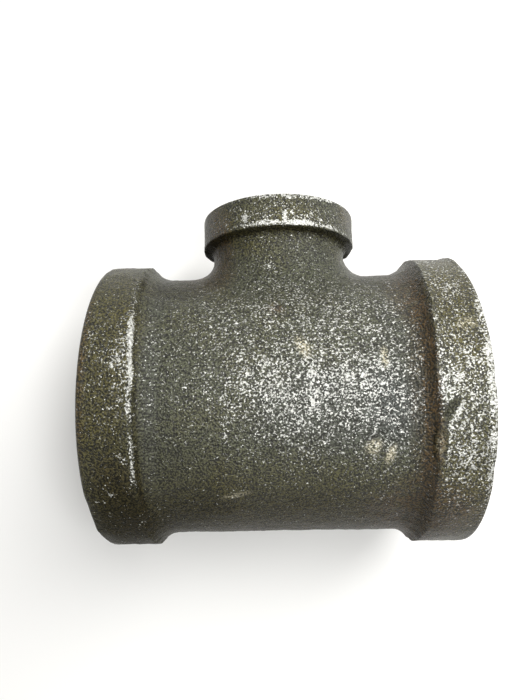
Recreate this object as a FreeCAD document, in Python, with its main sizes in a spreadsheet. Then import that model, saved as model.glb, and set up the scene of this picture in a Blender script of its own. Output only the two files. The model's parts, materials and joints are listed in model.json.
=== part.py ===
import FreeCAD, Part
import Sketcher
import os

# A malleable-iron reducing tee, 1 1/4 x 1 1/4 x 1/2, lying on its side.
# X runs along the straight way through, Y up the small branch, Z out of the table.
# The origin is where the two axes cross. All sizes are in millimetres.

doc = FreeCAD.newDocument("ReducingTee")

# ---- Driving dimensions ----

sizes = doc.addObject("Spreadsheet::Sheet", "Sizes")
driving = [
    ("RunEnd", 34.0, "centre of the tee to the face of each large port"),
    ("BranchEnd", 39.0, "centre of the tee to the face of the small port"),
    ("BodyRadius", 26.0, "outside of the cast body"),
    ("NeckRadius", 14.1, "outside of the branch below its band"),
    ("RunBandRadius", 28.5, "outside of the band round each large port"),
    ("RunBandWidth", 8.7, "flat width of that band"),
    ("BranchBandRadius", 16.1, "outside of the band round the small port"),
    ("BranchBandWidth", 6.4, "flat width of that band"),
    ("ShoulderLength", 2.2, "axial length of the slope behind a band"),
    ("FlareRadius", 5.5, "cast fillet where the branch grows out of the body"),
    ("CoveRadius", 2.0, "cast fillet at the foot of a shoulder"),
    ("RimRadius", 0.7, "rounding of the bands' own edges"),
    ("RunBoreRadius", 19.2, "crest of the 1 1/4 inch thread at its mouth"),
    ("RunTapDepth", 17.2, "depth that a large port is tapped"),
    ("RunSinkRadius", 21.3, "mouth of the countersink of a large port"),
    ("RunChamberRadius", 21.5, "cored waterway between the large ports"),
    ("BranchBoreRadius", 9.16, "crest of the 1/2 inch thread at its mouth"),
    ("BranchTapDepth", 13.0, "depth that the small port is tapped"),
    ("BranchSinkRadius", 10.9, "mouth of the countersink of the small port"),
    ("BranchChamberRadius", 10.9, "cored waterway behind the small port"),
    ("SinkAngle", 90.0, "full angle of both countersinks"),
]
for row, (alias, value, note) in enumerate(driving, start=1):
    sizes.set(f"A{row}", alias)
    sizes.set(f"B{row}", str(value))
    sizes.set(f"C{row}", note)
    sizes.setAlias(f"B{row}", alias)
doc.recompute()

casting = doc.addObject("PartDesign::Body", "TeeCasting")
casting.Label = "tee_casting"


# ---- Helpers ----

closeEnough = 0.01
fullTurn = 360
leastCut = 1.0


def originPlane(role):
    return next(f for f in casting.Origin.OriginFeatures if f.Role == role)


def newSketch(name, role, offset=None):
    """A sketch on one of the body's origin planes, moved along the plane's normal by an expression."""
    sketch = casting.newObject("Sketcher::SketchObject", name)
    sketch.AttachmentSupport = [(originPlane(role), "")]
    sketch.MapMode = "FlatFace"
    if offset:
        sketch.setExpression("AttachmentOffset.Base.z", offset)
    return sketch


def outlineSketch(name, corners):
    """A closed chain of lines in the XY plane, each corner bound to a pair of expressions."""
    sketch = newSketch(name, "XY_Plane")
    places = [FreeCAD.Vector(*map(sizes.evalExpression, corner)) for corner in corners]
    count = len(corners)
    for i in range(count):
        sketch.addGeometry(Part.LineSegment(places[i], places[(i + 1) % count]), False)
    for i, (x, y) in enumerate(corners):
        sketch.addConstraint(Sketcher.Constraint("Coincident", (i - 1) % count, 2, i, 1))
        for kind, axis, expression in (("DistanceX", -2, x), ("DistanceY", -1, y)):
            if expression == "0":
                sketch.addConstraint(Sketcher.Constraint("PointOnObject", i, 1, axis))
            else:
                size = sizes.evalExpression(expression)
                index = sketch.addConstraint(Sketcher.Constraint(kind, -1, 1, i, 1, size))
                sketch.setExpression(f"Constraints[{index}]", expression)
    return sketch


def circleSketch(name, role, radius, offset=None):
    """One circle round the plane's origin, its radius bound to an expression."""
    sketch = newSketch(name, role, offset)
    size = sizes.evalExpression(radius)
    sketch.addGeometry(Part.Circle(FreeCAD.Vector(), FreeCAD.Vector(0, 0, 1), size), False)
    sketch.addConstraint(Sketcher.Constraint("Coincident", 0, 3, -1, 1))
    index = sketch.addConstraint(Sketcher.Constraint("Radius", 0, size))
    sketch.setExpression(f"Constraints[{index}]", radius)
    return sketch


def turned(kind, name, sketch, axis):
    """A full Revolution or Groove of a sketch about its own horizontal or vertical axis."""
    feature = casting.newObject(kind, name)
    feature.Profile = sketch
    feature.ReferenceAxis = (sketch, [axis])
    feature.Angle = fullTurn
    doc.recompute()
    return feature


def mirroredOver(name, feature):
    """The same feature again at the other end of the run."""
    mirror = casting.newObject("PartDesign::Mirrored", name)
    mirror.Originals = [feature]
    mirror.MirrorPlane = (originPlane("YZ_Plane"), [""])
    casting.Tip = mirror
    doc.recompute()
    return mirror


def rounded(name, radius, wanted):
    """A fillet on every edge of the body so far that the test picks out."""
    base = casting.Tip
    edges = [f"Edge{i}" for i, edge in enumerate(base.Shape.Edges, start=1) if wanted(edge)]
    if not edges:
        raise RuntimeError(f"{name} found no edge to round")
    fillet = casting.newObject("PartDesign::Fillet", name)
    fillet.Base = (base, edges)
    fillet.setExpression("Radius", radius)
    doc.recompute()
    return fillet


def tappedPort(name, sketch, port, reverse):
    """A tapped port as its thread's crest cylinder, with the countersink at its mouth."""
    portHole = casting.newObject("PartDesign::Hole", name)
    portHole.Profile = sketch
    doc.recompute()
    portHole.ThreadType = "None"
    portHole.DepthType = "Dimension"
    portHole.DrillPoint = "Flat"
    portHole.HoleCutType = "Countersink"
    portHole.HoleCutCustomValues = True
    portHole.Reversed = reverse
    portHole.setExpression("Diameter", f"2 * Sizes.{port}BoreRadius")
    portHole.setExpression("Depth", f"Sizes.{port}TapDepth")
    portHole.setExpression("HoleCutDiameter", f"2 * Sizes.{port}SinkRadius")
    portHole.setExpression("HoleCutCountersinkAngle", "Sizes.SinkAngle")
    doc.recompute()
    return portHole


def volumeDrops(before, feature):
    """A cut that points away from the metal removes nothing, so its volume is compared."""
    if feature.Shape.Volume > before - leastCut:
        raise RuntimeError(f"{feature.Name} removed no metal")
    return feature.Shape.Volume


# ---- Outside of the casting ----

# One half of the run: body, shoulder slope and band, turned about X and mirrored.
runOutline = outlineSketch("RunOutline", [
    ("0", "0"),
    ("0", "Sizes.BodyRadius"),
    ("Sizes.RunEnd - Sizes.RunBandWidth - Sizes.ShoulderLength", "Sizes.BodyRadius"),
    ("Sizes.RunEnd - Sizes.RunBandWidth", "Sizes.RunBandRadius"),
    ("Sizes.RunEnd", "Sizes.RunBandRadius"),
    ("Sizes.RunEnd", "0"),
])
runHalf = turned("PartDesign::Revolution", "RunHalf", runOutline, "H_Axis")
mirroredOver("RunWhole", runHalf)

# The branch: a plain neck first, so that its flare into the body has room to form.
neckCircle = circleSketch("NeckCircle", "XZ_Plane", "Sizes.NeckRadius")
neck = casting.newObject("PartDesign::Pad", "Neck")
neck.Profile = neckCircle
neck.Reversed = True
neck.setExpression("Length", "Sizes.BranchEnd")
doc.recompute()


def isBodyToNeck(edge):
    """An edge where the neck meets the body: on both cylinders at once."""
    middle = edge.valueAt((edge.FirstParameter + edge.LastParameter) / 2)
    return all(
        place.y > 0
        and abs((place.y ** 2 + place.z ** 2) ** 0.5 - sizes.BodyRadius) < closeEnough
        and abs((place.x ** 2 + place.z ** 2) ** 0.5 - sizes.NeckRadius) < closeEnough
        for place in [middle] + [vertex.Point for vertex in edge.Vertexes]
    )


rounded("Flare", "Sizes.FlareRadius", isBodyToNeck)

branchBandOutline = outlineSketch("BranchBandOutline", [
    ("0", "Sizes.BranchEnd - Sizes.BranchBandWidth - Sizes.ShoulderLength"),
    ("Sizes.NeckRadius", "Sizes.BranchEnd - Sizes.BranchBandWidth - Sizes.ShoulderLength"),
    ("Sizes.BranchBandRadius", "Sizes.BranchEnd - Sizes.BranchBandWidth"),
    ("Sizes.BranchBandRadius", "Sizes.BranchEnd"),
    ("0", "Sizes.BranchEnd"),
])
turned("PartDesign::Revolution", "BranchBand", branchBandOutline, "V_Axis")


def isRing(edge, axis, radius, places):
    """A circle of one radius round X or Y, at one of the given places along that axis."""
    if not isinstance(edge.Curve, Part.Circle):
        return False
    centre = edge.Curve.Center
    along = abs(centre.x) if axis == "X" else centre.y
    across = centre.y if axis == "X" else centre.x
    return abs(edge.Curve.Radius - radius) < closeEnough and abs(across) < closeEnough and any(
        abs(along - place) < closeEnough for place in places
    )


runShoulder = sizes.RunEnd - sizes.RunBandWidth
branchShoulder = sizes.BranchEnd - sizes.BranchBandWidth
rounded("RunCoves", "Sizes.CoveRadius", lambda edge: isRing(
    edge, "X", sizes.BodyRadius, [runShoulder - sizes.ShoulderLength]))
rounded("BandRims", "Sizes.RimRadius", lambda edge: isRing(
    edge, "X", sizes.RunBandRadius, [runShoulder, sizes.RunEnd]) or isRing(
    edge, "Y", sizes.BranchBandRadius, [branchShoulder, sizes.BranchEnd]))

# ---- Waterway and tapped ports ----

metal = casting.Tip.Shape.Volume

# The chamber steps in at 45 degrees to meet the end of each large thread.
tapEnd = "Sizes.RunEnd - Sizes.RunTapDepth"
chamberOutline = outlineSketch("ChamberOutline", [
    ("0", "0"),
    ("0", "Sizes.RunChamberRadius"),
    (f"{tapEnd} - Sizes.RunChamberRadius + Sizes.RunBoreRadius", "Sizes.RunChamberRadius"),
    (tapEnd, "Sizes.RunBoreRadius"),
    (tapEnd, "0"),
])
chamberHalf = turned("PartDesign::Groove", "ChamberHalf", chamberOutline, "H_Axis")
metal = volumeDrops(metal, chamberHalf)
metal = volumeDrops(metal, mirroredOver("ChamberWhole", chamberHalf))

branchWayCircle = circleSketch("BranchWayCircle", "XZ_Plane", "Sizes.BranchChamberRadius")
branchWay = casting.newObject("PartDesign::Pocket", "BranchWay")
branchWay.Profile = branchWayCircle
branchWay.setExpression("Length", "Sizes.BranchEnd - Sizes.BranchTapDepth")
doc.recompute()
metal = volumeDrops(metal, branchWay)

runPortCircle = circleSketch("RunPortCircle", "YZ_Plane", "Sizes.RunBoreRadius", "Sizes.RunEnd")
runPort = tappedPort("RunPort", runPortCircle, "Run", False)
metal = volumeDrops(metal, runPort)
metal = volumeDrops(metal, mirroredOver("RunPorts", runPort))

branchPortCircle = circleSketch(
    "BranchPortCircle", "XZ_Plane", "Sizes.BranchBoreRadius", "-Sizes.BranchEnd")
branchPort = tappedPort("BranchPort", branchPortCircle, "Branch", True)
metal = volumeDrops(metal, branchPort)
casting.Tip = branchPort
doc.recompute()

# ---- Checks and export ----

for item in doc.Objects:
    if {"Invalid", "Error"} & set(item.State):
        raise RuntimeError(f"{item.Name} failed: {item.State}")
    if item.isDerivedFrom("Sketcher::SketchObject") and not item.FullyConstrained:
        raise RuntimeError(f"{item.Name} is not fully constrained")

shape = casting.Shape
if shape.isNull() or not shape.isValid() or len(shape.Solids) != 1:
    raise RuntimeError("the casting is not one valid solid")

os.makedirs("parts", exist_ok=True)
shape.exportStep(f"parts/{casting.Label}.step")
box = shape.optimalBoundingBox()
sides = " x ".join(f"{side:.2f}" for side in (box.XLength, box.YLength, box.ZLength))
print(f"{casting.Label}: {shape.Volume:.0f} mm3, {sides} mm")
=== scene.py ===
import json
import math

import bmesh
import bpy
import numpy as np
from mathutils import Euler, Matrix, Vector, noise


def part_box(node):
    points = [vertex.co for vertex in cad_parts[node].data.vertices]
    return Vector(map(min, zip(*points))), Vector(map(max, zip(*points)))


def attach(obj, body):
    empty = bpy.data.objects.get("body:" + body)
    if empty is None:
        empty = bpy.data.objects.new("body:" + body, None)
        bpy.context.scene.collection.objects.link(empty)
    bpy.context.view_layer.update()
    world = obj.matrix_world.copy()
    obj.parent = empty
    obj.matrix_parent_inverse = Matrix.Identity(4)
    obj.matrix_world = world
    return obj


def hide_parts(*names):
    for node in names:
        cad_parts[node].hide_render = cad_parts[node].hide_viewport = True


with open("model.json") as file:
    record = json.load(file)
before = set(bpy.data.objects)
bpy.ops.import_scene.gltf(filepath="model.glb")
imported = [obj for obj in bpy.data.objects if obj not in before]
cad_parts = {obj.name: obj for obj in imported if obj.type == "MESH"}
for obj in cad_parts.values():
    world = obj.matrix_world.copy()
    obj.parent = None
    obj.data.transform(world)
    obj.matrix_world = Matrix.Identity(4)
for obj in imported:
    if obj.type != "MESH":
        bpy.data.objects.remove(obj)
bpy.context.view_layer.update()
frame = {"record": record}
print("frame loaded")

mm = 0.001
teeLow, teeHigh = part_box("tee_casting")
mounts = {m["name"]: m for m in frame["record"]["mounts"]}
runEnd = teeHigh.x
branchEnd = teeHigh.y
bandRadius = teeHigh.z
runCrest = mounts["run_port_right"]["dims"]["r_mm"] * mm
branchCrest = mounts["branch_port"]["dims"]["r_mm"] * mm


skin = {
    "allowance": 0.14 * mm,       # room kept for the grain inside the nominal size
    "rightGrow": 0.12 * mm,       # the right band came out a little fuller than the left
    "bodyRadius": 25.9 * mm,
    "bodyDrop": 0.3 * mm,         # the body is cast a little below the run's axis
    "neckRadius": 14.0 * mm,
    "runBandWidth": 9.15 * mm,
    "rimLean": 0.06,              # the run bands get narrower towards the branch
    "leanFrom": 3.0 * mm,
    "runShoulder": 36.0,          # slope behind a run band, degrees
    "runCove": 1.9 * mm,
    "branchBandRadius": 16.3 * mm,
    "branchBandWidth": 6.5 * mm,
    "branchShoulder": 16.0,
    "branchCove": 0.7 * mm,
    "flare": 4.8 * mm,            # fillet between neck and body
    "rim": 0.10 * mm,             # inner edge of a band
    "rimCatch": 0.62,             # points this near a band's edge move onto it, in mesh sizes
    "mouthEdge": 0.9 * mm,        # outer edge of the left band
    "rightMouthEdge": 0.45 * mm,
    "branchMouthEdge": 0.35 * mm,
    "meshSize": 0.40 * mm,
    "roughShoulder": 2.5 * mm,    # shoulders of the shape that the skin settles from
    "roughBranchShoulder": 2.0 * mm,
    "faced": 0.6 * mm,            # depth of the machined end faces, and the fade behind them
    "facedFade": 0.4 * mm,
    "knockedFace": 3.0 * mm,      # how far in a knock may mark an end face, and the fade of that
    "knockedFaceFade": 1.5 * mm,
    "upperFrom": -9.0,            # the upper side starts here and is whole at the next, in mm above the axis
    "upperTo": 3.0,
}

grain = {
    "swell": (7.0 * mm, 0.10 * mm),      # size across, height
    "lumps": (2.4 * mm, 0.07 * mm),
    "sand": (1.0 * mm, 0.05 * mm),
    # the bands' inner edges are not quite true: size across, height, and how much skin moves with the edge
    "runWander": (3.2 * mm, 0.32 * mm, 1.0 * mm),
    "branchWander": (3.2 * mm, 0.20 * mm, 0.8 * mm),
}

# knocks on the upper side: x, y, half length, half width, turn, depth, all in mm and degrees
knocks = [
    (26.3, -3.8, 2.3, 0.55, 59, 0.55),    # a gouge that ends at the right band's inner edge
    (25.1, -9.0, 2.3, 0.8, 88, 0.55),     # the chip below it
    (-33.8, -20.0, 1.4, 2.8, 0, 0.22),    # flats on the left mouth's edge
    (-33.4, -25.8, 2.2, 2.0, 0, 0.20),
    (33.2, -13.5, 2.2, 1.6, 20, 0.14),
    (33.3, 0.9, 0.9, 1.2, 0, 0.18),
    (-9.6, 1.2, 1.9, 0.5, 60, 0.10),
    (9.0, -13.5, 2.4, 0.6, 25, 0.10),
    (-17.0, -5.5, 2.2, 0.5, 70, 0.12),
    (29.2, 6.2, 2.2, 0.7, 70, 0.13),
    (29.7, -13.3, 2.8, 0.6, 10, 0.18),
    (-29.5, 3.0, 1.5, 0.7, 30, 0.13),
    (33.6, 27.5, 0.7, 3.0, 0, -0.35),     # a burr left on the right mouth's edge
    (-21.6, 26.5, 1.1, 1.6, 0, -0.35),    # and a lump behind the left band
]


# both shapes are given as distances to their skins, negative inside
def roundUnion(a, b, radius):
    corner = np.hypot(np.maximum(radius - a, 0), np.maximum(radius - b, 0))
    return np.maximum(radius, np.minimum(a, b)) - corner


def roundMeet(a, b, radius):
    corner = np.hypot(np.maximum(radius + a, 0), np.maximum(radius + b, 0))
    return np.minimum(-radius, np.maximum(a, b)) + corner


# a ring whose inner end slopes down to the body
def bandDistance(along, across, radius, inner, slope, rim):
    lean = math.radians(slope)
    shoulder = (inner - along) * math.cos(lean) + (across - radius) * math.sin(lean)
    return roundMeet(across - radius, shoulder, rim)


# where the run bands begin, at each point's place across the run
def rimPlace(y):
    return runEnd - skin["runBandWidth"] + skin["rimLean"] * np.maximum(y - skin["leanFrom"], 0)


def runRadiusAt(x):
    return bandRadius - skin["allowance"] + skin["rightGrow"] * (x > 0)


# how far points are from the skin of the smooth tee, before its grain
def skinDistance(p):
    x, y, z = p[:, 0], p[:, 1], p[:, 2]
    s = skin
    alongRun, roundRun = np.abs(x), np.hypot(y, z)
    roundBranch = np.hypot(x, z)
    body = np.hypot(y + s["bodyDrop"], z) - s["bodyRadius"]
    runBand = bandDistance(alongRun, roundRun, runRadiusAt(x), rimPlace(y), s["runShoulder"], s["rim"])
    run = roundUnion(body, runBand, s["runCove"])
    mouthEdge = np.where(x > 0, s["rightMouthEdge"], s["mouthEdge"])
    mouthRoom = s["allowance"] / 3
    run = roundMeet(run, alongRun - (runEnd - mouthRoom), mouthEdge)
    neck = np.maximum(roundBranch - s["neckRadius"], -y)
    tee = roundUnion(run, neck, s["flare"])
    branchBand = bandDistance(y, roundBranch, s["branchBandRadius"] - s["allowance"],
                              branchEnd - s["branchBandWidth"], s["branchShoulder"], s["rim"])
    tee = roundUnion(tee, branchBand, s["branchCove"])
    return roundMeet(tee, y - (branchEnd - mouthRoom), s["branchMouthEdge"])


# the skin's outward direction at each point
def skinSlope(p):
    step = 0.02 * mm
    slope = np.empty_like(p)
    for axis in range(3):
        shift = np.zeros(3)
        shift[axis] = step
        slope[:, axis] = skinDistance(p + shift) - skinDistance(p - shift)
    return slope / np.maximum(np.linalg.norm(slope, axis=1), 1e-12)[:, None]


# moves points onto the smooth skin
def settle(p, rounds=8):
    for _ in range(rounds):
        p = p - skinSlope(p) * skinDistance(p)[:, None]
    return p


# puts the points nearest a band's inner edge right on it, so the mesh keeps it crisp
def crispRims(p, reach):
    s = skin
    x, y, z = p.T
    roundRun, radius = np.hypot(y, z), runRadiusAt(x)
    near = np.hypot(np.abs(x) - rimPlace(y), roundRun - radius) < reach
    p[near, 0] = (np.sign(x) * rimPlace(y))[near]
    p[near, 1:] *= (radius / roundRun)[near, None]
    roundBranch, radius = np.hypot(x, z), s["branchBandRadius"] - s["allowance"]
    inner = branchEnd - s["branchBandWidth"]
    near = np.hypot(y - inner, roundBranch - radius) < reach
    p[near, 1] = inner
    p[near, ::2] *= (radius / roundBranch)[near, None]
    return p


# even noise from about -1 to 1; each seed looks at another place of it
def noiseAt(p, size, seed, octaves=2):
    shift = Vector((seed * 13.7, seed * 7.1, seed * 3.3))
    return np.array([noise.fractal(Vector(q) / size + shift, 1.0, 2.0, octaves) for q in p])


# 1 on the upper side and 0 on the underside
def upperSide(p):
    t = np.clip((p[:, 2] / mm - skin["upperFrom"]) / (skin["upperTo"] - skin["upperFrom"]), 0, 1)
    return t * t * (3 - 2 * t)


# 1 in the middle of an oval seen from above, 0 outside it
def spot(p, x, y, halfLength, halfWidth, turn):
    c, s = math.cos(math.radians(turn)), math.sin(math.radians(turn))
    dx, dy = p[:, 0] - x * mm, p[:, 1] - y * mm
    u = (dx * c + dy * s) / (halfLength * mm)
    v = (dy * c - dx * s) / (halfWidth * mm)
    return np.exp(-(u * u + v * v) ** 2) * upperSide(p)


def pieceFrom(bm, name):
    mesh = bpy.data.meshes.new(name)
    bm.to_mesh(mesh)
    bm.free()
    piece = bpy.data.objects.new(name, mesh)
    bpy.context.scene.collection.objects.link(piece)
    return piece


# the outline is (along, radius) pairs that start and end on the axis
def turnedSolid(name, outline, axis="X", steps=160):
    bm = bmesh.new()
    rings = []
    for along, radius in outline:
        if radius == 0:
            rings.append([bm.verts.new((along, 0, 0))])
        else:
            rings.append([bm.verts.new((along, radius * math.cos(a), radius * math.sin(a)))
                          for a in np.linspace(0, 2 * math.pi, steps, endpoint=False)])
    for one, two in zip(rings, rings[1:]):
        for i in range(steps):
            j = (i + 1) % steps
            if len(one) == 1:
                bm.faces.new((one[0], two[i], two[j]))
            elif len(two) == 1:
                bm.faces.new((one[i], two[0], one[j]))
            else:
                bm.faces.new((one[i], two[i], two[j], one[j]))
    bmesh.ops.recalc_face_normals(bm, faces=bm.faces)
    if axis == "Y":
        bmesh.ops.transform(bm, matrix=Matrix.Rotation(math.radians(90), 4, "Z"), verts=bm.verts)
    return pieceFrom(bm, name)


def joined(name, pieces):
    bm = bmesh.new()
    for piece in pieces:
        bm.from_mesh(piece.data)
        bpy.data.objects.remove(piece)
    return pieceFrom(bm, name)


def applied(piece):
    bpy.context.view_layer.update()
    made = bpy.data.meshes.new_from_object(piece.evaluated_get(bpy.context.evaluated_depsgraph_get()))
    piece.modifiers.clear()
    piece.data = made
    return piece


def remeshed(piece, size):
    change = piece.modifiers.new("Even mesh", "REMESH")
    change.mode = "VOXEL"
    change.voxel_size = size
    return applied(piece)


def pointsOf(piece):
    flat = np.empty(len(piece.data.vertices) * 3)
    piece.data.vertices.foreach_get("co", flat)
    return flat.reshape(-1, 3)


def movePoints(piece, p):
    piece.data.vertices.foreach_set("co", p.ravel())
    piece.data.update()


# 1 near the line where the distance is 0, and 0 away from it
def nearLine(distance, halfWidth, power=4):
    return np.exp(-(distance / halfWidth) ** power)


# the bands' inner edges wander along the run or the branch
def wanderRims(p):
    size, height, reach = grain["runWander"]
    edge = nearLine(np.abs(p[:, 0]) - rimPlace(p[:, 1]), reach, 2)
    edge *= np.hypot(p[:, 1], p[:, 2]) > skin["bodyRadius"] + 0.5 * mm
    p[:, 0] += edge * noiseAt(p, size, 5) * height
    size, height, reach = grain["branchWander"]
    edge = nearLine(p[:, 1] - branchEnd + skin["branchBandWidth"], reach, 2)
    edge *= np.hypot(p[:, 0], p[:, 2]) > skin["neckRadius"] + 0.5 * mm
    p[:, 1] += edge * noiseAt(p, size, 6) * height


# how high the sand grain, swells and knocks stand at each point
def grainHeight(p):
    height = np.zeros(len(p))
    for seed, name in enumerate(("swell", "lumps", "sand"), start=1):
        size, amount = grain[name]
        height += noiseAt(p, size, seed) * amount
    s = skin
    faced = np.clip((np.abs(p[:, 0]) - runEnd + s["faced"]) / s["facedFade"], 0, 1)
    faced = np.maximum(faced, np.clip((p[:, 1] - branchEnd + s["faced"]) / s["facedFade"], 0, 1))
    height *= 1 - faced
    past = np.hypot(p[:, 1], p[:, 2]) - bandRadius + s["knockedFace"]
    knockable = np.maximum(1 - faced, np.clip(past / s["knockedFaceFade"], 0, 1))
    for x, y, halfLength, halfWidth, turn, depth in knocks:
        height -= spot(p, x, y, halfLength, halfWidth, turn) * knockable * depth * mm
    return height


def castSkin():
    s = skin
    runRim = runEnd - s["runBandWidth"]
    runFoot = runRim - s["roughShoulder"]
    branchRim = branchEnd - s["branchBandWidth"]
    branchFoot = branchRim - s["roughBranchShoulder"]
    run = turnedSolid("run", [
        (-runEnd, 0), (-runEnd, bandRadius), (-runRim, bandRadius), (-runFoot, s["bodyRadius"]),
        (runFoot, s["bodyRadius"]), (runRim, bandRadius), (runEnd, bandRadius), (runEnd, 0)])
    branch = turnedSolid("branch", [
        (0, 0), (0, s["neckRadius"]), (branchFoot, s["neckRadius"]), (branchRim, s["branchBandRadius"]),
        (branchEnd, s["branchBandRadius"]), (branchEnd, 0)], "Y")
    piece = remeshed(joined("tee_skin", [run, branch]), s["meshSize"])

    p = settle(pointsOf(piece))
    outward = skinSlope(p)
    p = crispRims(p, s["rimCatch"] * s["meshSize"])
    wanderRims(p)
    p = p + outward * grainHeight(p)[:, None]
    inset = 0.01 * mm              # keeps every point inside the nominal box
    movePoints(piece, np.clip(p, np.array(teeLow) + inset, np.array(teeHigh) - inset))
    return piece


ports = {
    "run": {"pitch": 25.4 / 11.5 * mm, "tapped": 17.2 * mm, "sink": 21.3 * mm, "steps": 144},
    "branch": {"pitch": 25.4 / 14 * mm, "tapped": 13.0 * mm, "sink": 10.9 * mm, "steps": 96},
    "taper": 1 / 32,              # the radius lost per unit of depth
    "depth": 0.8,                 # thread depth in pitches
    "flat": 0.06,                 # half of a crest's or root's flat, in pitches
    "past": 1.5 * mm,             # how far a cutter stands out of the mouth
    "sinkPast": 1.0 * mm,         # how far a countersink's cone runs on inside the thread's crest
}

core = {
    "radius": 21.5 * mm,
    "branchRadius": 10.9 * mm,
    "overlap": 0.8 * mm,          # how far the core reaches into a tapped stretch
    "overlapInside": 1.2 * mm,    # and how far inside the thread's crest it ends
    "branchOverlap": 1.6 * mm,
    "branchOverlapInside": 0.5 * mm,
    "meshSize": 0.8 * mm,
    "lumps": (3.0 * mm, 0.15 * mm, 9),        # size across, height, seed
    "swell": (9.0 * mm, 0.12 * mm, 10),
}


# a plug with a tapered right-hand pipe thread on its side, running in from the mouth along -X
def threadCutter(name, crest, port):
    pitch, steps = port["pitch"], port["steps"]
    depth = ports["depth"] * pitch
    flat = ports["flat"]
    rows = [(0, depth), (flat, depth), (0.5 - flat, 0), (0.5 + flat, 0), (1 - flat, depth)]
    turns = math.ceil((port["tapped"] + ports["past"]) / pitch) + 1
    profile = [(turn + share, extra) for turn in range(turns) for share, extra in rows]
    perTurn = len(rows)
    bm = bmesh.new()
    grid = []
    for along, extra in profile:
        ring = []
        for i in range(steps):
            inward = (along + i / steps) * pitch - ports["past"] - pitch
            radius = crest - inward * ports["taper"] + extra
            a = 2 * math.pi * i / steps
            ring.append(bm.verts.new((-inward, radius * math.cos(a), radius * math.sin(a))))
        grid.append(ring)
    last = len(profile) - 1
    for j in range(last):
        for i in range(steps - 1):
            bm.faces.new((grid[j][i], grid[j][i + 1], grid[j + 1][i + 1], grid[j + 1][i]))
        if j + perTurn < last:
            bm.faces.new((grid[j][-1], grid[j + perTurn][0], grid[j + perTurn + 1][0], grid[j + 1][-1]))
    mouthLoop = grid[0] + [grid[j][0] for j in range(perTurn, 0, -1)]
    deepLoop = grid[last] + [grid[j][-1] for j in range(last - 1, last - perTurn - 1, -1)]
    for loop in (mouthLoop, deepLoop):
        middle = bm.verts.new((sum(v.co.x for v in loop) / len(loop), 0, 0))
        for one, two in zip(loop, loop[1:] + loop[:1]):
            bm.faces.new((one, two, middle))
    bmesh.ops.recalc_face_normals(bm, faces=bm.faces)
    return pieceFrom(bm, name)


# stands a cutter in the mouth of a port
def placeAt(piece, end, turn):
    piece.data.transform(Matrix.Rotation(math.radians(turn), 4, "Z") @ Matrix.Translation((end, 0, 0)))
    return piece


def sinkCutter(name, port, crest):
    past, sink = ports["past"], port["sink"]
    deep = sink - crest + ports["sinkPast"]
    return turnedSolid(name, [(past, 0), (past, sink + past), (-deep, sink - deep), (-deep, 0)])


# the sand core that leaves the rough chamber behind the threads
def waterwayCore():
    c = core
    foot = runEnd - ports["run"]["tapped"]
    shoulder = foot - c["radius"] + runCrest
    tip, inside = foot + c["overlap"], runCrest - c["overlapInside"]
    chamber = turnedSolid("chamber", [
        (-tip, 0), (-tip, inside), (-foot, runCrest), (-shoulder, c["radius"]),
        (shoulder, c["radius"]), (foot, runCrest), (tip, inside), (tip, 0)])
    foot = branchEnd - ports["branch"]["tapped"]
    tip, inside = foot + c["branchOverlap"], branchCrest - c["branchOverlapInside"]
    way = turnedSolid("branch_way", [
        (0, 0), (0, c["branchRadius"]), (foot, c["branchRadius"]), (tip, inside), (tip, 0)], "Y")
    piece = remeshed(joined("core", [chamber, way]), c["meshSize"])
    p = pointsOf(piece)
    normals = np.empty(len(p) * 3)
    piece.data.vertex_normals.foreach_get("vector", normals)
    rough = sum(noiseAt(p, size, seed) * height for size, height, seed in (c["lumps"], c["swell"]))
    movePoints(piece, p + normals.reshape(-1, 3) * rough[:, None])
    return piece


def cutAway(piece, cutter):
    change = piece.modifiers.new("Cut", "BOOLEAN")
    change.operation = "DIFFERENCE"
    change.solver = "MANIFOLD"
    change.object = cutter
    before = len(piece.data.vertices)
    applied(piece)
    print(f"  cut {cutter.name}: {before} to {len(piece.data.vertices)} points")
    bpy.data.objects.remove(cutter)


def cutPorts(piece):
    cutAway(piece, waterwayCore())
    for name, end, turn, key, crest in (
            ("right", runEnd, 0, "run", runCrest),
            ("left", runEnd, 180, "run", runCrest),
            ("branch", branchEnd, 90, "branch", branchCrest)):
        cutAway(piece, placeAt(threadCutter(f"{name}_thread", crest, ports[key]), end, turn))
        cutAway(piece, placeAt(sinkCutter(f"{name}_sink", ports[key], crest), end, turn))


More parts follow.
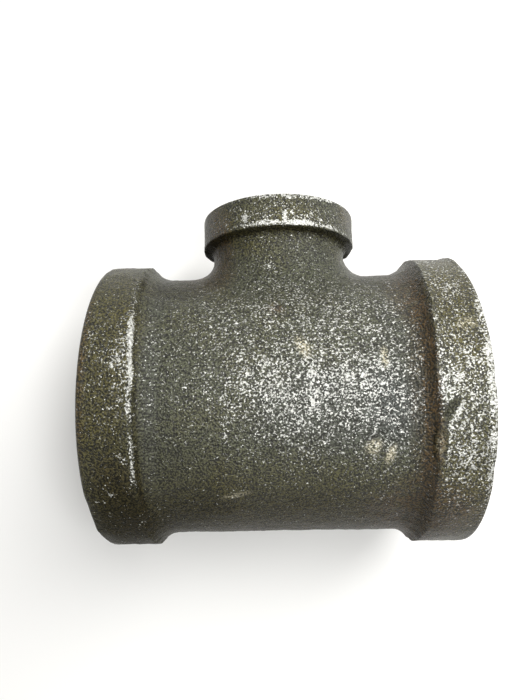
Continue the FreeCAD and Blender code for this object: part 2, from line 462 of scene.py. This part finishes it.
ironSkin = {
    # the pits between grains are painted dark as shade, on top of the grain's own tone
    "pitShade": (0.010, 0.0095, 0.006, 1),
    "raised": (0.082, 0.087, 0.051, 1),
    "olive": (0.092, 0.080, 0.018, 1),
    "shadeBrown": (0.033, 0.027, 0.013, 1),
    "sheenBlueGrey": (0.050, 0.059, 0.057, 1),
    "rust": (0.100, 0.060, 0.020, 1),
    "tan": (0.50, 0.46, 0.33, 1),
    "bareAndGlints": (0.675, 0.68, 0.65, 1),
    "speckSize": 0.36 * mm,
    "grainSize": 0.34 * mm,
    "clumpSize": 1.3 * mm,
    "patchSize": 8.0 * mm,
    "chipSize": 0.75 * mm,
    "speckShare": 0.84,           # how much of a grain's height the specks make, and the clumps the rest
    "pitSpan": (0.41, 0.62),      # from the bottom of a pit to the grain round it
    "patchSpan": (0.45, 0.65),
    "patchOlive": 0.25,
    "paintedOlive": 0.8,
    "paintedSheenShare": 0.7,
    "paintedShadeShare": 0.85,
    "rustSpan": (0.35, 0.6, (0.35, 1.0)),
    "tanSpan": (0.44, 0.56),
    "bareFrom": 0.66,             # how high a grain has to stand to show bright metal, where there is no wear and no painted glint
    "bareWearAndGlints": 0.50,             # the same where wear and painted glints are strongest
    "bareSpan": (-0.02, 0.07),
    "chipSpan": (0.07, 0.13),
    "bareMetal": 0.8,
    "roughness": (0.40, 0.36),    # of the skin, and where it is bare
    "gloss": (0.5, 0.02),         # of the skin, and where shade is painted
    "bumps": {"clump": (0.5, 0.30 * mm), "grain": (1.0, 0.42 * mm), "speck": (0.8, 0.24 * mm)},
}

cutIron = {
    "metal": (0.21, 0.205, 0.19, 1),
    "stain": (0.055, 0.042, 0.028, 1),
    "stainSize": 4.0 * mm,
    "stainSpan": (0.40, 0.66),
    "toolMark": 0.22 * mm,
    "metallic": (0.9, 0.25),      # of clean metal, and of a stain
    "roughness": (0.34, 0.55),
    "bump": (0.35, 0.05 * mm),
}


# a short way to write a finish
class Nodes:
    def __init__(self, material):
        material.use_nodes = True
        self.tree = material.node_tree
        self.tree.nodes.clear()

    def add(self, kind, sockets=None, **settings):
        node = self.tree.nodes.new(kind)
        for key, value in settings.items():
            setattr(node, key, value)
        for key, value in (sockets or {}).items():
            if isinstance(value, bpy.types.NodeSocket):
                self.tree.links.new(value, node.inputs[key])
            else:
                node.inputs[key].default_value = value
        return node

    def noise(self, place, size, detail, rough):
        made = self.add("ShaderNodeTexNoise", {"Vector": place, "Scale": 1 / size,
                                               "Detail": detail, "Roughness": rough})
        return made.outputs["Fac"]

    def span(self, value, low, high, to=(0.0, 1.0), way="SMOOTHSTEP"):
        made = self.add("ShaderNodeMapRange", {"Value": value, "From Min": low, "From Max": high,
                                               "To Min": to[0], "To Max": to[1]},
                        interpolation_type=way, clamp=way != "LINEAR")
        return made.outputs["Result"]

    def sum(self, operation, one, two, clamp=False):
        return self.add("ShaderNodeMath", {0: one, 1: two}, operation=operation, use_clamp=clamp).outputs[0]

    def times(self, one, two, clamp=True):
        return self.sum("MULTIPLY", one, two, clamp)

    def blend(self, share, one, two):
        # sockets 0, 6 and 7 of a colour mix are its share and its two colours
        return self.add("ShaderNodeMix", {0: share, 6: one, 7: two}, data_type="RGBA").outputs[2]

    def bump(self, height, strength, distance, under=None):
        sockets = {"Height": height, "Strength": strength, "Distance": distance}
        if under is not None:
            sockets["Normal"] = under
        return self.add("ShaderNodeBump", sockets).outputs[0]

    def painted(self, name):
        return self.add("ShaderNodeAttribute", attribute_name=name).outputs["Fac"]


def ironSkinMaterial():
    s = ironSkin
    material = bpy.data.materials.new("as_cast_iron")
    n = Nodes(material)
    place = n.add("ShaderNodeTexCoord").outputs["Object"]
    speck = n.noise(place, s["speckSize"], 3.0, 0.6)
    grains = n.noise(place, s["grainSize"], 2.0, 0.5)
    clump = n.noise(place, s["clumpSize"], 2.0, 0.5)
    patch = n.noise(place, s["patchSize"], 3.0, 0.6)
    stand = n.sum("ADD", n.times(speck, s["speckShare"], False), n.times(clump, 1 - s["speckShare"], False))

    patches = n.times(n.span(patch, *s["patchSpan"]), s["patchOlive"], False)
    olive = n.sum("ADD", patches, n.times(n.painted("olive"), s["paintedOlive"], False), clamp=True)
    tint = n.blend(olive, s["raised"], s["olive"])
    # painted sheen: a bluer grey where the sheen falls
    tint = n.blend(n.times(n.painted("paintedSheen"), s["paintedSheenShare"]), tint, s["sheenBlueGrey"])
    tint = n.blend(n.times(n.painted("rust"), n.span(clump, *s["rustSpan"])), tint, s["rust"])
    # painted shade: darker, browner and less glossy where shade is painted
    tint = n.blend(n.times(n.painted("paintedShade"), s["paintedShadeShare"]), tint, s["shadeBrown"])
    # painted shade in the pits between the grains, with the grain's own tone
    colour = n.blend(n.span(grains, *s["pitSpan"]), s["pitShade"], tint)
    colour = n.blend(n.times(n.painted("tan"), n.span(stand, *s["tanSpan"])), colour, s["tan"])

    # bright metal specks show on the grains that stand highest, more of them where there is wear and where
    # glints are painted
    reach = n.span(n.painted("wearAndGlints"), 0.0, 1.0, (s["bareFrom"], s["bareWearAndGlints"]), "LINEAR")
    rubbedAndGlinting = n.span(n.sum("SUBTRACT", stand, reach), *s["bareSpan"])
    chip = n.noise(place, s["chipSize"], 2.0, 0.6)
    chippedAndGlinting = n.span(n.sum("SUBTRACT", chip, reach), *s["chipSpan"])
    bareAndGlints = n.sum("MAXIMUM", rubbedAndGlinting, chippedAndGlinting)
    colour = n.blend(bareAndGlints, colour, s["bareAndGlints"])

    normal = n.bump(clump, *s["bumps"]["clump"])
    normal = n.bump(grains, *s["bumps"]["grain"], normal)
    normal = n.bump(speck, *s["bumps"]["speck"], normal)
    shader = n.add("ShaderNodeBsdfPrincipled", {
        "Base Color": colour, "Metallic": n.times(bareAndGlints, s["bareMetal"]),
        "Roughness": n.span(bareAndGlints, 0.0, 1.0, s["roughness"]), "IOR": 1.5,
        "Specular IOR Level": n.span(n.painted("paintedShade"), 0.0, 1.0, s["gloss"]), "Normal": normal})
    n.add("ShaderNodeOutputMaterial", {"Surface": shader.outputs[0]})
    return material


def cutIronMaterial():
    s = cutIron
    material = bpy.data.materials.new("cut_iron")
    n = Nodes(material)
    place = n.add("ShaderNodeTexCoord").outputs["Object"]
    stain = n.noise(place, s["stainSize"], 4.0, 0.65)
    scratch = n.noise(place, s["toolMark"], 2.0, 0.5)
    colour = n.blend(n.span(stain, *s["stainSpan"]), s["metal"], s["stain"])
    shader = n.add("ShaderNodeBsdfPrincipled", {
        "Base Color": colour, "Metallic": n.span(stain, *s["stainSpan"], s["metallic"]),
        "Roughness": n.span(scratch, 0.3, 0.7, s["roughness"]), "Normal": n.bump(scratch, *s["bump"])})
    n.add("ShaderNodeOutputMaterial", {"Surface": shader.outputs[0]})
    return material


# where the upper side is worn and has painted glints, is stained or rusty, or has painted shade or painted
# sheen: x, y, half length, half width, turn, strength
marks = {
    "wearAndGlints": [
        # the body, where the specks are painted glints as well as wear
        (9, -3.5, 17, 7, 0, 0.11), (9, -4, 21, 10, 0, 0.18), (4, -4.5, 28, 13, 0, 0.24),
        (3, 9, 28, 14, 0, 0.49), (3, 15, 24, 7, 0, 0.15), (18, -14, 9, 5, 0, 0.16),
        # the right band and the body beside it
        (30, -2.5, 6, 14, 0, 0.29), (30, 4, 6, 25, 0, 0.26), (33.4, 0, 1.0, 20, 0, 0.75),
        (30, -16, 5, 7, 0, 0.3), (25.4, 12, 0.7, 16, 0, 0.2), (19, 1, 5, 12, 0, 0.10),
        (29, 23, 5, 7, 0, 0.37),
        # the left band, with a rubbed spot and two scratches
        (-29.5, 7, 5.5, 12, 0, 0.22), (-30, 0, 5, 17, 0, 0.10), (-26.8, 4, 1.4, 8, 0, 0.28),
        (-28, 5.6, 1.4, 1.4, 0, 0.3), (-29.5, -16.1, 1, 0.3, -40, 1.3), (-26.4, -10.5, 1.4, 0.5, -50, 0.9),
        # the branch's band, with two dashes, and the neck
        (2, 35, 15, 4, 0, 0.48), (3, 38.6, 12, 0.6, 0, 0.9), (3, 33.0, 11, 0.5, 0, 0.9),
        (-6.5, 34.7, 0.5, 1.2, 0, 1.3), (1.3, 34.3, 0.4, 1.3, 0, 1.2), (4.1, 33.2, 2.2, 0.6, 0, 0.8),
        (2, 28, 12, 7, 0, 0.25), (-1.8, 24.7, 1.6, 1.2, 0, 0.35),
        # the gouge and the chip are dark, from painted shade and no specks, with bright edges
        (26.3, -3.8, 2.3, 0.65, 59, -2), (25.1, -9.0, 2.3, 0.8, 88, -2), (-22.3, 0, 1.4, 18, 0, 0.15),
        (27.3, -4.3, 2.4, 0.3, 59, 0.4), (26.3, -9.4, 0.4, 2.4, 0, 0.5),
    ],
    "tan": [
        (3.5, 7.5, 0.9, 2.0, 25, 1.4), (17.0, 5.4, 0.6, 1.8, 0, 1.4), (14.7, -9.2, 1.4, 1.1, 40, 0.9),
        (17.5, -10.6, 0.7, 1.6, -20, 1.0), (30.6, 10.6, 1.6, 1.0, 10, 0.8),
        (-8.5, -17.2, 2.6, 0.4, 10, 0.45), (25.1, -9.0, 2.0, 0.7, 88, 0.4),
    ],
    "rust": [
        (-0.9, 15.2, 1.6, 1.2, 0, 0.8), (-12.6, 34.5, 3.2, 4.5, 0, 0.7), (-11.7, 29.6, 2.4, 4.0, 0, 0.9),
        (-14, 24, 5, 4, 0, 0.8), (24.0, -6, 1.4, 24, 0, 0.9), (22, -21, 8, 6, 0, 0.9),
        (-33.4, 4, 1.0, 14, 0, 0.9), (0, -25, 26, 7, 0, 0.3), (25.1, -9.0, 2.2, 0.8, 88, 1.2),
        (14, 37, 2.4, 2.5, 0, 0.4), (-28, -14, 4, 4, 0, 0.3), (22, 18, 3, 6, 0, 0.6),
        (29, -21, 5, 5, 0, 0.6),
    ],
    # painted shade: darker towards the bottom and on the left band, beside the neck, at the left of the
    # branch, in the gouge and along the chip
    "paintedShade": [
        (-30, -12, 6, 22, 0, 0.38), (0, -25, 36, 10, 0, 0.66), (-30, -23, 9, 10, 0, 0.25),
        (-20, -15, 12, 10, 0, 0.3), (24, -20, 4, 12, 0, 0.15), (-19, 21.5, 7, 4.5, 0, 0.6),
        (20, 22, 6, 4, 0, 0.5), (-12, 27, 3, 6, 0, 0.5), (-15, 34, 2, 5, 0, 0.4),
        (26.3, -3.8, 2.3, 0.6, 59, 0.35), (24.3, -9, 0.4, 2.6, 0, 0.9),
    ],
    "olive": [
        (-30, 5, 6, 24, 0, 1.0), (30, 16, 6, 16, 0, 1.0), (30, -18, 6, 12, 0, 0.9), (-4, 33, 14, 6, 0, 0.6),
        (0, -18, 26, 8, 0, 0.6), (-13, 29, 4, 10, 0, 0.9),
    ],
    # painted sheen: a bluer grey where the highlight falls on the body, on the left band's lit shoulder and
    # on the neck
    "paintedSheen": [
        (9, -3, 15, 8, 0, 0.85), (20, 2, 6, 14, 0, 0.60), (-22.4, 4, 1.6, 20, 0, 0.50),
        (5, 29, 6, 3, 0, 0.4),
    ],
}

# no mark is quite even
uneven = {"size": 3.0 * mm, "share": 0.25, "least": 0.2, "most": 1.4}

# marks that follow a band's inner edge: what, how far from the edge towards the mouth, half width,
# from and to across the run, strength and how ragged it is, with places in mm
rimMarks = {
    # bright with wear and painted glints, with a line of painted shade in the crease behind it
    "left": [("wearAndGlints", 0.15, 0.42, -15, 13, 0.9, 0.8), ("wearAndGlints", 0.2, 0.5, 10, 24, 0.45, 0),
             ("paintedShade", -0.55, 0.35, -24, 24, 0.4, 0)],
    # rust has gathered in the corner behind it, which is painted darker as shade, and no wear or glints
    # reach there
    "right": [("paintedShade", -1.0, 0.8, -60, 60, 0.12, 0), ("rust", -1.0, 0.8, -60, 60, 0.7, 0),
              ("wearAndGlints", -1.0, 0.8, -60, 60, -0.8, 0), ("rust", -2.6, 1.6, -60, 60, 0.4, 0),
              ("wearAndGlints", -2.6, 1.6, -60, 60, -0.08, 0)],
    # painted shadow under the branch band's inner edge, where no specks show
    "branch": [("paintedShade", -0.45, 0.5, -60, 60, 0.75, 0), ("wearAndGlints", -0.45, 0.5, -60, 60, -1, 0)],
}

# no place on the underside is special, so it is rubbed and rusted all over, and painted darker all over as
# shade
underside = {
    "wearAndGlints": 0.20,
    "wornUneven": 0.45,
    "wornSize": 9.0 * mm,
    "rust": 0.6,
    "rustSize": 12.0 * mm,
    "paintedShade": 0.6,
    "olive": 0.5,
}


# 1 between two places across the run, given in mm, and 0 outside them
def along(y, low, high):
    return 1 / (1 + np.exp(low - y / mm)) / (1 + np.exp(y / mm - high))


def paintMarks(piece):
    p = pointsOf(piece)
    x, y = p.T[:2]
    painted = {name: sum(spot(p, *place) * strength for *place, strength in places)
               for name, places in marks.items()}
    wander = noiseAt(p, uneven["size"], 21)
    painted["wearAndGlints"] *= np.clip(1 + uneven["share"] * wander, uneven["least"], uneven["most"])

    past = {
        "left": -x - rimPlace(y),
        "right": x - rimPlace(y),
        "branch": y - branchEnd + skin["branchBandWidth"],
    }
    for band, lines in rimMarks.items():
        for name, place, halfWidth, start, end, strength, ragged in lines:
            line = nearLine(past[band] - place * mm, halfWidth * mm) * along(y, start, end)
            painted[name] += line * (strength + ragged * wander)

    u = underside
    low = 1 - upperSide(p)
    painted["wearAndGlints"] += low * np.clip(u["wearAndGlints"] + u["wornUneven"] * noiseAt(p, u["wornSize"], 23), 0, 1)
    painted["rust"] += low * np.clip(noiseAt(p, u["rustSize"], 22), 0, 1) * u["rust"]
    # painted shade: the underside is darker all over
    painted["paintedShade"] += low * u["paintedShade"]
    painted["olive"] += low * u["olive"]
    for name, values in painted.items():
        layer = piece.data.attributes.new(name, "FLOAT", "POINT")
        layer.data.foreach_set("value", np.clip(values, 0, 2).astype(np.float32))


machined = {
    "runDepth": 0.7 * mm,         # a face this near a mouth is a machined one, if it looks out of it
    "branchDepth": 0.25 * mm,
    "square": 0.9,
    "sinkSpare": 0.1 * mm,
    "sharpFrom": 38.0,            # edges turned by more degrees than this stay sharp
}


def finishFaces(piece):
    mesh = piece.data
    mesh.materials.clear()
    mesh.materials.append(ironSkinMaterial())
    mesh.materials.append(cutIronMaterial())
    centre = np.empty(len(mesh.polygons) * 3)
    mesh.polygons.foreach_get("center", centre)
    x, y, z = centre.reshape(-1, 3).T
    normal = np.empty(len(mesh.polygons) * 3)
    mesh.polygons.foreach_get("normal", normal)
    nx, ny = normal.reshape(-1, 3).T[:2]
    port, spare = ports["run"], machined["sinkSpare"]
    cut = (np.abs(x) > runEnd - port["tapped"]) & (np.hypot(y, z) < port["sink"] + spare)
    port = ports["branch"]
    cut |= (y > branchEnd - port["tapped"]) & (np.hypot(x, z) < port["sink"] + spare)
    cut |= (np.abs(x) > runEnd - machined["runDepth"]) & (np.abs(nx) > machined["square"])
    cut |= (y > branchEnd - machined["branchDepth"]) & (ny > machined["square"])
    mesh.polygons.foreach_set("material_index", cut.astype(np.int32))
    mesh.polygons.foreach_set("use_smooth", np.ones(len(mesh.polygons), bool))
    mesh.set_sharp_from_angle(angle=math.radians(machined["sharpFrom"]))


def buildTee():
    tee = castSkin()
    print(f"skin settled: {len(tee.data.vertices)} points")
    cutPorts(tee)
    finishFaces(tee)
    paintMarks(tee)
    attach(tee, "root")
    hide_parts("tee_casting")
    print(f"tee built: {len(tee.data.polygons)} faces")


buildTee()


shot = {
    "lens": 28.07,
    "distance": 4.053,            # in band radii, as are the next two
    "aside": -0.144,
    "above": 0.372,
    "tilt": (-8.43, -1.24, 1.32),      # degrees
    "sensor": 36,
    "clip": (0.05, 200),          # in band radii
}

studio = {
    "floorColour": (0.92, 0.92, 0.92, 1),
    "floorRoughness": 0.9,
    "floorSize": 60,              # in band radii
    "world": (1.0, 0.99, 0.96, 1),
    "worldStrength": 0.36,
    # lights: place, length and width in band radii, watts, colour
    "ceiling": ((4.2, 4.4, 8.8), (6.5, 8.5), 1.12, (1.0, 0.99, 0.96)),
    "strip": ((2.1, -1.6, 8.0), (3.6, 1.2), 0.30, (1.0, 1.0, 0.98)),
}


def softLight(name):
    place, (length, width), power, colour = studio[name]
    data = bpy.data.lights.new(name, "AREA")
    data.shape = "RECTANGLE"
    data.size, data.size_y = length * bandRadius, width * bandRadius
    data.energy = power
    data.color = colour
    lamp = bpy.data.objects.new(name, data)
    bpy.context.scene.collection.objects.link(lamp)
    lamp.location = Vector(place) * bandRadius
    lamp.rotation_mode = "QUATERNION"
    lamp.rotation_quaternion = lamp.location.to_track_quat("Z", "Y")     # aimed at the tee


def setStage():
    bm = bmesh.new()
    bmesh.ops.create_grid(bm, x_segments=8, y_segments=8, size=studio["floorSize"] * bandRadius)
    floor = pieceFrom(bm, "paper")
    floor.location.z = teeLow.z
    material = bpy.data.materials.new("paper")
    n = Nodes(material)
    shader = n.add("ShaderNodeBsdfPrincipled", {
        "Base Color": studio["floorColour"], "Roughness": studio["floorRoughness"]})
    n.add("ShaderNodeOutputMaterial", {"Surface": shader.outputs[0]})
    floor.data.materials.append(material)

    world = bpy.data.worlds.new("studio")
    bpy.context.scene.world = world
    world.use_nodes = True
    backdrop = world.node_tree.nodes["Background"]
    backdrop.inputs["Color"].default_value = studio["world"]
    backdrop.inputs["Strength"].default_value = studio["worldStrength"]
    for name in ("ceiling", "strip"):
        softLight(name)
    bpy.context.scene.view_settings.view_transform = "Standard"


def setCamera():
    data = bpy.data.cameras.new("camera")
    data.sensor_width = shot["sensor"]
    data.lens = shot["lens"]
    camera = bpy.data.objects.new("camera", data)
    bpy.context.scene.collection.objects.link(camera)
    turn = Euler([math.radians(a) for a in shot["tilt"]], "XYZ").to_matrix().transposed()
    # the camera's place is given along its own axes
    place = turn @ Vector((shot["aside"], shot["above"], shot["distance"])) * bandRadius
    camera.matrix_world = Matrix.Translation(place) @ turn.to_4x4()
    data.clip_start, data.clip_end = (bandRadius * reach for reach in shot["clip"])
    bpy.context.scene.camera = camera


setStage()
setCamera()
print("stage set")
